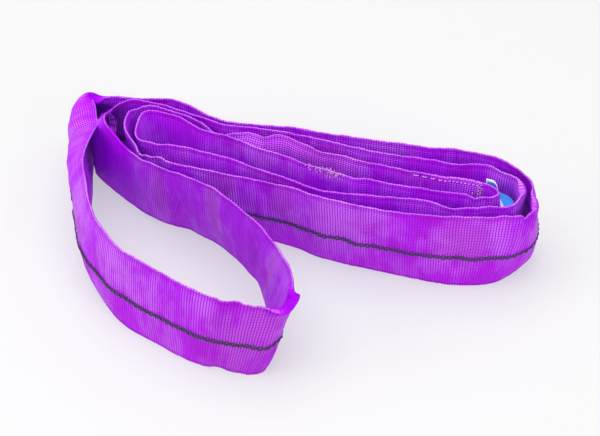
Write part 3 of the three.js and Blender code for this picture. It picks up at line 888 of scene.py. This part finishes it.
class SlingLabelSettings(bpy.types.PropertyGroup):
    """Colours of the label."""

    blue: bpy.props.FloatVectorProperty(
        name="Blue", description="Colour of the label's face",
        default=(0.02, 0.3, 0.86), size=3, min=0, max=1, subtype="COLOR")
    # A painted highlight on the crowns of the label's weave, also its random grain.
    light_blue: bpy.props.FloatVectorProperty(
        name="Light blue", description="Crown of the label's weave",
        default=(0.1, 0.55, 0.95), size=3, min=0, max=1, subtype="COLOR")
    hem_white: bpy.props.FloatVectorProperty(
        name="Hem", description="Colour of the label's hem",
        default=(0.86, 0.92, 0.98), size=3, min=0, max=1, subtype="COLOR")


class SlingStageSettings(bpy.types.PropertyGroup):
    """The floor, the lights and the camera."""

    floor_colour: bpy.props.FloatVectorProperty(
        name="Floor colour", description="Colour of the paper sweep",
        default=(0.34, 0.34, 0.342), size=3, min=0, max=1, subtype="COLOR")
    floor_glow: bpy.props.FloatProperty(
        name="Floor glow", description="Light that comes through the translucent sweep",
        default=0.445, min=0, max=2)
    lens: bpy.props.FloatProperty(
        name="Lens", description="Focal length in millimetres on a 36 mm sensor",
        default=105.6, min=20, max=300, unit="CAMERA")
    key_power: bpy.props.FloatProperty(
        name="Key light", description="Power of the overhead softbox in watts",
        default=19.0, min=0, max=500, unit="POWER")
    fill_power: bpy.props.FloatProperty(
        name="Fill light", description="Power of each side softbox in watts",
        default=8.0, min=0, max=500, unit="POWER")


# ---- Operators ----

def sleeve_of(context):
    return Sleeve(context.scene.sling_sleeve.flat_width / MM)


class SLING_OT_sleeve(bpy.types.Operator):
    """Weave the endless sleeve along its route, with its folds and its sewn overlap"""

    bl_idname = "sling.sleeve"
    bl_label = "Sleeve"

    INSET = 0.05              # of the first ring from the cut edge, in millimetres
    BESIDE_END = [0.06, 0.5]  # rings that make the step at the cut edge steep

    def execute(self, context):
        sleeve = sleeve_of(context)
        look = context.scene.sling_sleeve
        count = round(sleeve.length / STATION_STEP)
        runs = np.linspace(0, sleeve.length, count, endpoint=False) + self.INSET
        beside_end = sleeve.length - np.array(self.BESIDE_END)
        runs = np.sort(np.concatenate([runs, beside_end]))
        places = sleeve.place_of(runs)
        flat = sleeve.flat_width
        rising = np.array(FROM_EDGE) / flat
        fractions = np.concatenate([rising, [0.5], 1 - rising[::-1]])
        grid = np.tile(fractions, (len(places), 1))
        outer = sleeve.points(places, grid, 1)
        inner = sleeve.points(places, grid, -1)
        ring = np.concatenate([outer, inner[:, -2:0:-1]], axis=1)
        around = ring.shape[1]
        heights = np.concatenate([fractions, fractions[-2:0:-1]]) * flat * MM
        faces = ring_faces(len(places), around, closed=True)
        piece = new_object("sleeve_cover", ring.reshape(-1, 3), faces)
        self.lay_band(piece, runs, heights, around, sleeve.length)
        self.set_openness(piece, sleeve, places, fractions, around)
        piece.data.materials.append(sleeve_weave(look, look.flat_width))
        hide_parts("sleeve")
        return {"FINISHED"}

    def lay_band(self, piece, runs, heights, around, length):
        """Lays the weave along and up the sleeve, on past its end in the last quads."""
        corners = corners_of(piece)
        ring, spoke = corners // around, corners % around
        along = runs[ring] * MM
        in_face = np.arange(len(corners)) % 4
        wrapped = (ring == 0) & (in_face >= 2)
        along = np.where(wrapped, along + length * MM, along)
        lay_weave(piece, along, heights[spoke])

    def set_openness(self, piece, sleeve, places, fractions, around):
        """Stores where the weave is stretched open, and the painted highlight, shade and fuzz
        patches.
        """
        along = np.interp(places, [0, 58, 63, 72, 79, 84, 90, 96, 106, 112, 120],
                          [0.3, 0.35, 0.7, 0.7, 0.5, 0.4, 0.3, 0.4, 0.6, 0.3, 0.3])
        up = np.interp(fractions, [0, 0.35, 0.6, 1], [0.55, 0.75, 1, 0.9])
        opened = along[:, None] * up[None, :]
        run = sleeve.run_of(places)[:, None]
        pale = np.zeros((len(places), len(fractions)))
        for place, height, long, tall, amount in PAINTED_LIGHT_AND_FUZZ_PATCHES:
            patch = hump(sleeve.run_at(place), long, run) * hump(
                height, tall / sleeve.flat_width, fractions[None, :])
            pale = pale + amount * patch
        for name, values in (("openness", opened), ("painted_light_and_fuzz", pale)):
            rings = np.concatenate([values, values[:, -2:0:-1]], axis=1)
            layer = piece.data.attributes.new(name, "FLOAT", "POINT")
            layer.data.foreach_set("value", rings.ravel())


class SLING_OT_tracer(bpy.types.Operator):
    """Lay the two dark tracer yarns that cross each other along the outer face"""

    bl_idname = "sling.tracer"
    bl_label = "Tracer yarns"

    STEP = 0.42               # between two rings of a yarn, in millimetres
    RADIUS = 0.52
    CLEAR = 1.0               # left bare at either end of the sleeve
    LIFT = 0.3                # of the yarns' middle off the cloth

    def execute(self, context):
        sleeve = sleeve_of(context)
        look = context.scene.sling_threads
        runs = np.arange(self.CLEAR, sleeve.length - self.CLEAR, self.STEP)
        places = sleeve.place_of(runs)
        half = (look.tracer_width / MM / 2 - self.RADIUS) / sleeve.flat_width
        turn = math.pi * runs / (look.tracer_pitch / MM)
        out = sleeve.frames(places)[2]
        yarns = []
        for sign in (1, -1):
            rise = TRACER_HEIGHT + sign * half * np.sin(turn)
            lift = self.LIFT + self.LIFT * np.cos(turn) * sign
            path = sleeve.points(places, rise[:, None], 1, lift[:, None])[:, 0]
            yarns.append(tube(path, self.RADIUS * MM, flatness=0.7, normals=out))
        piece = new_object("tracer_yarns", *joined(yarns))
        facing_out(piece)
        dark, light = colour(look.tracer_dark), colour(look.tracer_light)
        piece.data.materials.append(
            twisted_thread("tracer_yarn_black", dark, light, sheen=0.03))
        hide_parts("tracer_yarn")
        return {"FINISHED"}


class SLING_OT_seam(bpy.types.Operator):
    """Sew the seam on both faces, stitch by stitch"""

    bl_idname = "sling.seam"
    bl_label = "Seam stitches"

    GAP = 0.7                 # between two stitches, in millimetres
    RADIUS = 0.4
    PLACE_LENGTH = 11.6       # of the sleeve from one place to the next at the seam
    POINTS = 7                # along one stitch
    FIRST = 0.1               # where a stitch begins, as a share of its pitch
    ARCH, LIFT = 0.5, 0.1     # of a stitch's middle and of its ends off the cloth

    def execute(self, context):
        sleeve = sleeve_of(context)
        look = context.scene.sling_threads
        shade = colour(look.stitch_colour)
        thread = twisted_thread(
            "seam_thread_pink", shade, (0.9, 0.45, 1.0), 0.0006, sheen=0.05)
        sides = (("seam_needle_stitches", "seam_needle_thread", 1),
                 ("seam_bobbin_stitches", "seam_bobbin_thread", -1))
        for name, node, side in sides:
            tubes = []
            for line in self.lines():
                tubes += self.stitches(sleeve, line, side, look.stitch_length / MM)
            piece = facing_out(new_object(name, *joined(tubes)))
            piece.data.materials.append(thread)
            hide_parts(node)
        return {"FINISHED"}

    def lines(self):
        """The sewn lines: along the upper edge, then down and up beside the cut edge."""
        tucked_end, beside_cut, second_row = -0.7, 1.9, 1.6
        return (
            [(tucked_end, SEAM_HIGH), (beside_cut, SEAM_HIGH)],
            [(beside_cut, SEAM_HIGH), (beside_cut, SEAM_LOW)],
            [(second_row, SEAM_LOW), (second_row, SEAM_HIGH - 0.08)],
        )

    def stitches(self, sleeve, line, side, length):
        ends = np.array(line)
        scale = np.array([self.PLACE_LENGTH, sleeve.flat_width])
        span = np.linalg.norm((ends[1] - ends[0]) * scale)
        pitch = length + self.GAP
        count = int(span / pitch)
        stitch = np.linspace(self.FIRST, self.FIRST + length / pitch, self.POINTS)
        arch = self.ARCH * np.sin(np.linspace(0, math.pi, self.POINTS)) + self.LIFT
        made = []
        for k in range(count):
            spots = ends[0] + (ends[1] - ends[0]) * ((k + stitch) / count)[:, None]
            places, rise = spots[:, 0], spots[:, 1:2]
            path = sleeve.points(places, rise, side, arch[:, None])[:, 0]
            out = sleeve.frames(places)[2]
            made.append(tube(path, self.RADIUS * MM, flatness=0.9, normals=out))
        return made


class SLING_OT_loose_ends(bpy.types.Operator):
    """Fray the covering end's cut edge and leave a tuft of loose thread on an edge"""

    bl_idname = "sling.loose_ends"
    bl_label = "Frayed edge and loose threads"

    SEED = 31
    STRANDS = 120             # on either face
    CURLS = 110
    TUFT_PLACE, TUFT_REACH = 9.35, 0.42
    THREAD_SIDES = 4

    def execute(self, context):
        sleeve = sleeve_of(context)
        draw = np.random.default_rng(self.SEED)
        strands = [self.strand(sleeve, draw, side)
                   for side in (1, -1) for _ in range(self.STRANDS)]
        fray = facing_out(new_object("cut_edge_fray", *joined(strands)))
        fray.data.materials.append(twisted_thread(
            "frayed_yarn", (0.8, 0.3, 0.92), (1.0, 0.66, 1.0), 0.0006, sheen=0.05))
        tuft = [self.curl(sleeve, draw) for _ in range(self.CURLS)]
        loose = facing_out(new_object("loose_threads", *joined(tuft)))
        loose.data.materials.append(twisted_thread(
            "loose_thread", (0.9, 0.34, 0.9), (1.0, 0.72, 1.0), 0.0006, sheen=0.05))
        return {"FINISHED"}

    def strand(self, sleeve, draw, side):
        """A yarn end that sticks out past the cut edge and lies on the cloth."""
        rise = draw.uniform(0.03, 0.985)
        reach = draw.uniform(0.04, 0.16)
        steps = np.linspace(0, 1, 6)
        places = SEAM_PLACE - 0.03 + steps * reach
        rises = rise + draw.uniform(-0.012, 0.012) * steps ** 2
        under = sleeve.half_thickness(
            rises[:, None], np.full((6, 1), sleeve.flat_width), route_at(places),
            sleeve.covered(places)[:, None])[:, 0]
        lies = [under[0] - 0.1, under[0] + 0.2, under[0] - 0.5]
        lift = np.interp(np.arange(6), [0, 1, 5], lies)
        path = sleeve.points(places, rises[:, None], side, (lift - under)[:, None])[:, 0]
        return tube(path, draw.uniform(0.16, 0.26) * MM, self.THREAD_SIDES)

    def curl(self, sleeve, draw):
        """A broken filament that curls up off the upper edge."""
        place = self.TUFT_PLACE + self.TUFT_REACH * draw.standard_normal()
        height = np.array([[draw.uniform(0.93, 0.998)]])
        foot = sleeve.points(np.array([place]), height, -1)
        heading = draw.normal(math.pi, 0.5)
        length = draw.uniform(1.5, 4.5)
        bend = draw.uniform(-1.6, 1.6)
        steps = np.linspace(0, 1, 8)
        angle = heading + bend * steps
        path = np.column_stack([
            np.cumsum(np.cos(angle)) * length / 8,
            np.cumsum(np.sin(angle)) * length / 8 - 0.5,
            1.3 * np.sin(steps * math.pi) * draw.uniform(0.2, 0.9),
        ])
        return tube(foot[0, 0] + path * MM, draw.uniform(0.09, 0.16) * MM,
                    self.THREAD_SIDES)


class SLING_OT_label(bpy.types.Operator):
    """Sew in the blue label that stands beside the seam"""

    bl_idname = "sling.label"
    bl_label = "Label"

    STATIONS, LEVELS = 40, 26 # points along the label and up it
    HALF_THICKNESS = 0.22     # in millimetres
    STANDS_OFF = 3.5          # of its foot from its line, away from the inner bend
    TOP_CURL = 78             # how far its top bends over, in degrees
    STITCH_RISE, STITCH_WIDTH = 2.5, 1.5
    STITCH_POINTS = 8         # from one corner of the zigzag to the next

    def execute(self, context):
        flat = context.scene.sling_sleeve.flat_width / MM
        low, high = LABEL_BOX[0][2] / MM, LABEL_BOX[1][2] / MM
        self.build_label(context, *self.centre_line(flat), low, high)
        self.build_sewing(flat, low, high)
        return {"FINISHED"}

    def centre_line(self, flat):
        """The label's line from above, evenly spaced, and its length in millimetres."""
        knots = to_real(np.array(LABEL_LINE, float), flat)
        padded = np.vstack([2 * knots[0] - knots[1], knots, 2 * knots[-1] - knots[-2]])
        spots = []
        for i in range(1, len(padded) - 2):
            a, b, c, d = padded[i - 1 : i + 3]
            for t in np.linspace(0, 1, 12, endpoint=False):
                spots.append(0.5 * (2 * b + (c - a) * t + (2 * a - 5 * b + 4 * c - d) * t**2
                                    + (3 * b - a - 3 * c + d) * t**3))
        spots.append(knots[-1])
        spots = np.array(spots)
        steps = np.linalg.norm(np.diff(spots, axis=0), axis=1)
        walked = np.concatenate([[0], np.cumsum(steps)])
        even = np.linspace(0, walked[-1], self.STATIONS)
        line = np.column_stack([np.interp(even, walked, spots[:, k]) for k in (0, 1)])
        return line, walked[-1]

    def build_label(self, context, line, length, low, high):
        rows = np.linspace(low, high, self.LEVELS)
        along = unit(np.gradient(line, axis=0))
        across = np.column_stack([-along[:, 1], along[:, 0]])
        share = np.linspace(0, 1, len(line))[:, None]
        rise = ((rows - low) / (high - low))[None, :]
        wave = 0.18 * np.sin(share * 9 + rise * 4) * share
        curled = smooth(0.15, 0.6, share)
        angle = np.radians(self.TOP_CURL) * smooth(0.66, 0.86, rise)
        step = (high - low) / (len(rows) - 1)
        jut = np.cumsum(np.sin(angle), axis=1) * step - self.STANDS_OFF
        climb = np.cumsum(np.cos(angle), axis=1) * step - step
        sheets = []
        for side in (1, -1):
            shift = wave + side * self.HALF_THICKNESS
            spots = np.empty((len(line), len(rows), 3))
            spots[..., :2] = line[:, None] + across[:, None] * shift[..., None]
            spots[..., :2] -= across[:, None] * (jut * curled)[..., None]
            spots[..., 2] = low + climb * curled + (rows - low)[None, :] * (1 - curled)
            sheets.append(spots)
        rim = np.concatenate([sheets[0], sheets[1][:, ::-1]], axis=1)
        around = rim.shape[1]
        faces = ring_faces(len(line), around)
        last = (len(line) - 1) * around
        for j in range(len(rows) - 1):
            k = around - 1 - j
            faces.append((j, k, k - 1, j + 1))
            faces.append((last + j, last + j + 1, last + k - 1, last + k))
        piece = new_object("label_sheet", rim.reshape(-1, 3) * MM, faces, "label_flap")
        facing_out(piece)
        corners = corners_of(piece)
        heights = np.concatenate([rows, rows[::-1]]) - low
        walked = np.linspace(0, length, len(line))
        lay_weave(piece, walked[corners // around] * MM, heights[corners % around] * MM)
        piece.data.materials.append(label_cloth(context.scene.sling_label))
        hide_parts("label")

    def build_sewing(self, flat, low, high):
        """A zigzag of white thread up the label's sewn edge."""
        foot = to_real(np.array([LABEL_THREAD_FOOT], float), flat)[0]
        corners = []
        for k, level in enumerate(np.arange(low + 2, high - 2, self.STITCH_RISE)):
            corners.append((foot[0] + (k % 2) * self.STITCH_WIDTH, foot[1], level))
        corners = np.array(corners)
        last = len(corners) - 1
        steps = np.linspace(0, last, last * self.STITCH_POINTS + 1)
        path = np.column_stack([np.interp(steps, range(len(corners)), corners[:, k])
                                for k in range(3)])
        path[:, 1] += 0.18 * np.abs(np.sin(steps * math.pi))
        normals = np.tile([0.0, 1.0, 0.0], (len(path), 1))
        thread = tube(path * MM, 0.3 * MM, flatness=0.9, normals=normals)
        piece = facing_out(new_object("label_stitches", *thread, "label_flap"))
        piece.data.materials.append(
            twisted_thread("label_thread_white", (0.78, 0.8, 0.86), (0.97, 0.97, 1.0), 0.0006))
        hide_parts("label_thread")


class SLING_OT_core(bpy.types.Operator):
    """Finish the core yarn and the tape round it, which lie inside the sleeve"""

    bl_idname = "sling.core"
    bl_label = "Core"

    STEP = 4                  # between two rings of the hank, in millimetres
    DEPTH = 0.3               # of the sleeve's thickness that the hank fills at rest

    def execute(self, context):
        sleeve = sleeve_of(context)
        runs = np.linspace(0, sleeve.length, round(sleeve.length / self.STEP),
                           endpoint=False)
        places = sleeve.place_of(runs)
        rising = np.linspace(0.12, 0.88, 12)
        grid = np.tile(rising, (len(places), 1))
        faces = [sleeve.points(places, grid, side, depth=self.DEPTH) for side in (1, -1)]
        ring = np.concatenate([faces[0], faces[1][:, ::-1]], axis=1)
        hank = new_object("core_hank", ring.reshape(-1, 3),
                          ring_faces(len(places), ring.shape[1], closed=True))
        facing_out(hank)
        hank.data.materials.append(core_fibre())
        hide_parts("core_yarn")
        tape = bpy.data.objects["core_binding_tape"]
        tape.data.materials.clear()
        tape.data.materials.append(binding_tape())
        return {"FINISHED"}


class SLING_OT_stage(bpy.types.Operator):
    """Set up the paper sweep, the softboxes and the camera"""

    bl_idname = "sling.stage"
    bl_label = "Stage"

    MIDDLE = (0, 0, 0)
    KEY_PLACE, KEY_SIZE = (-0.15, -0.1, 1.5), 1.5
    LEFT_PLACE, RIGHT_PLACE, FILL_SIZE = (-1.3, -0.7, 0.8), (1.2, -0.9, 0.7), 0.9
    TENT_LIGHT = 0.62
    CAMERA_PLACE = (0.1917, -0.6981, 0.7185)
    CAMERA_AIM = (0.0053, 0.0495, 0.0)
    FLOOR_FRONT, FLOOR_BACK, SWEEP_RADIUS, SWEEP_TOP = -4.0, 1.6, 1.2, 4.5
    SWEEP_STEPS = 12
    SWEEP_ACROSS = (-4.0, -1.3, 1.3, 4.0)

    def execute(self, context):
        look = context.scene.sling_stage
        self.sweep(look)
        self.softbox("key_softbox", self.KEY_PLACE, self.KEY_SIZE, look.key_power)
        self.softbox("left_softbox", self.LEFT_PLACE, self.FILL_SIZE, look.fill_power)
        self.softbox("right_softbox", self.RIGHT_PLACE, self.FILL_SIZE, look.fill_power)
        self.world()
        self.camera(context, look)
        return {"FINISHED"}

    def sweep(self, look):
        """A floor that curves up behind into a backdrop."""
        profile = [(self.FLOOR_FRONT, 0.0), (-1.0, 0.0), (self.FLOOR_BACK, 0.0)]
        for k in range(1, self.SWEEP_STEPS + 1):
            turn = k / self.SWEEP_STEPS * math.pi / 2
            profile.append((self.FLOOR_BACK + self.SWEEP_RADIUS * math.sin(turn),
                            self.SWEEP_RADIUS * (1 - math.cos(turn))))
        profile.append((self.FLOOR_BACK + self.SWEEP_RADIUS, self.SWEEP_TOP))
        points = [(x, y, z) for y, z in profile for x in self.SWEEP_ACROSS]
        count = len(self.SWEEP_ACROSS)
        faces = []
        for i in range(len(profile) - 1):
            for j in range(count - 1):
                a = i * count + j
                faces.append((a, a + 1, a + count + 1, a + count))
        piece = mesh_object("sweep", points, faces)
        piece.data.materials.append(floor_paint(look))

    def softbox(self, name, place, size, power):
        data = bpy.data.lights.new(name, "AREA")
        data.shape = "SQUARE"
        data.size = size
        data.energy = power
        light = bpy.data.objects.new(name, data)
        self.point_at(light, place, self.MIDDLE)
        bpy.context.scene.collection.objects.link(light)

    def point_at(self, thing, place, target):
        """Puts a light or the camera at a place and turns it to its target."""
        thing.location = place
        aim = Vector(target) - Vector(place)
        thing.rotation_mode = "QUATERNION"
        thing.rotation_quaternion = aim.to_track_quat("-Z", "Y")

    def world(self):
        sky = bpy.data.worlds.new("tent")
        sky.use_nodes = True
        background = sky.node_tree.nodes["Background"]
        background.inputs["Color"].default_value = (1.0, 1.0, 1.0, 1)
        background.inputs["Strength"].default_value = self.TENT_LIGHT
        bpy.context.scene.world = sky

    def camera(self, context, look):
        data = bpy.data.cameras.new("camera")
        data.lens = look.lens
        data.sensor_width = 36
        camera = bpy.data.objects.new("camera", data)
        self.point_at(camera, self.CAMERA_PLACE, self.CAMERA_AIM)
        context.scene.collection.objects.link(camera)
        context.scene.camera = camera
        context.scene.view_settings.view_transform = "Standard"
        context.scene.view_settings.look = "None"


class SLING_PT_panel(bpy.types.Panel):
    """The sling's pieces, in the order that they are made"""

    bl_idname = "SLING_PT_panel"
    bl_label = "Round Sling"
    bl_space_type = "VIEW_3D"
    bl_region_type = "UI"
    bl_category = "Sling"

    def draw(self, context):
        for operator in OPERATORS:
            self.layout.operator(operator.bl_idname)
        for name in SETTINGS:
            box = self.layout.box()
            group = getattr(context.scene, name)
            for key in group.bl_rna.properties.keys():
                if key not in ("rna_type", "name"):
                    box.prop(group, key)


OPERATORS = (
    SLING_OT_stage, SLING_OT_sleeve, SLING_OT_tracer, SLING_OT_seam,
    SLING_OT_loose_ends, SLING_OT_label, SLING_OT_core,
)
SETTINGS = {
    "sling_sleeve": SlingSleeveSettings,
    "sling_threads": SlingThreadSettings,
    "sling_label": SlingLabelSettings,
    "sling_stage": SlingStageSettings,
}


def register():
    for kind in (*SETTINGS.values(), *OPERATORS, SLING_PT_panel):
        bpy.utils.register_class(kind)
    for name, kind in SETTINGS.items():
        setattr(bpy.types.Scene, name, bpy.props.PointerProperty(type=kind))


def unregister():
    for name in SETTINGS:
        delattr(bpy.types.Scene, name)
    for kind in reversed((*SETTINGS.values(), *OPERATORS, SLING_PT_panel)):
        bpy.utils.unregister_class(kind)


def main():
    register()
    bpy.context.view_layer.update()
    for operator in OPERATORS:
        group, name = operator.bl_idname.split(".")
        getattr(getattr(bpy.ops, group), name)()


if __name__ == "__main__":
    main()
